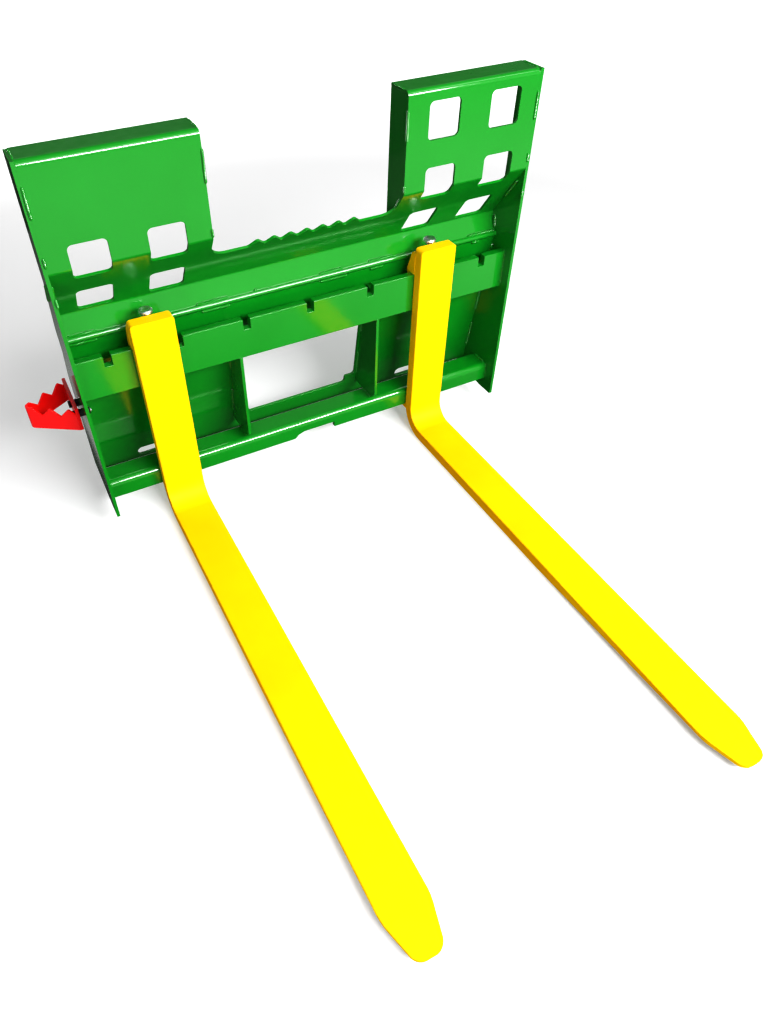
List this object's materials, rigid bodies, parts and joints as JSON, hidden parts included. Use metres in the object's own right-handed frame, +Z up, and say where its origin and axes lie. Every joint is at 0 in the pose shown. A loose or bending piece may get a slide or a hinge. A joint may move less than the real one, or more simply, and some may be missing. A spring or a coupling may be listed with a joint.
{
  "type": "pallet fork attachment",
  "caption": "Loader pallet fork attachment: welded carriage with window guard and coupler plate, forks that slide along a notched bar with lock pins, and a serrated side step.",
  "frame": {"origin": "on the ground, in the middle of the frame's width, in the plane of the fork shanks' front faces", "axes": "+X to the right seen from the front, +Y back towards the machine, +Z up; the blades point towards -Y"},
  "size_m": [1.2833, 1.442, 0.92],
  "materials": {
    "green_paint": "gloss",
    "yellow_paint": "satin",
    "red_paint": "gloss",
    "black_steel": "satin",
    "zinc": "satin"
  },
  "bodies": {
    "frame": {"left_side_plate": "green_paint", "right_side_plate": "green_paint", "guard_sheet": "green_paint", "left_tower_inner_plate": "green_paint", "right_tower_inner_plate": "green_paint", "coupler_hook_bar": "green_paint", "back_plate": "green_paint", "fork_bar": "green_paint", "lower_rail": "green_paint", "left_gusset": "green_paint", "right_gusset": "green_paint", "side_step_tread": "red_paint", "side_step_base": "red_paint", "step_bolts": "black_steel", "step_spacers": "black_steel", "step_washers": "zinc", "step_nuts": "black_steel"},
    "left_fork_body": {"left_fork": "yellow_paint", "left_fork_upper_hook": "yellow_paint", "left_fork_lower_hook": "yellow_paint"},
    "right_fork_body": {"right_fork": "yellow_paint", "right_fork_upper_hook": "yellow_paint", "right_fork_lower_hook": "yellow_paint"},
    "left_pin_body": {"left_lock_pin": "zinc"},
    "right_pin_body": {"right_lock_pin": "zinc"}
  },
  "joints": [
    {"name": "left_fork_slide", "type": "slide", "parent": "frame", "child": "left_fork_body", "axis": [1, 0, 0], "range_m": [-0.127, 0.336]},
    {"name": "right_fork_slide", "type": "slide", "parent": "frame", "child": "right_fork_body", "axis": [1, 0, 0], "range_m": [-0.2855, 0.178]},
    {"name": "left_lock_pin_lift", "type": "slide", "parent": "left_fork_body", "child": "left_pin_body", "axis": [0, 0, 1], "range_m": [0, 0.01]},
    {"name": "right_lock_pin_lift", "type": "slide", "parent": "right_fork_body", "child": "right_pin_body", "axis": [0, 0, 1], "range_m": [0, 0.01]}
  ]
}
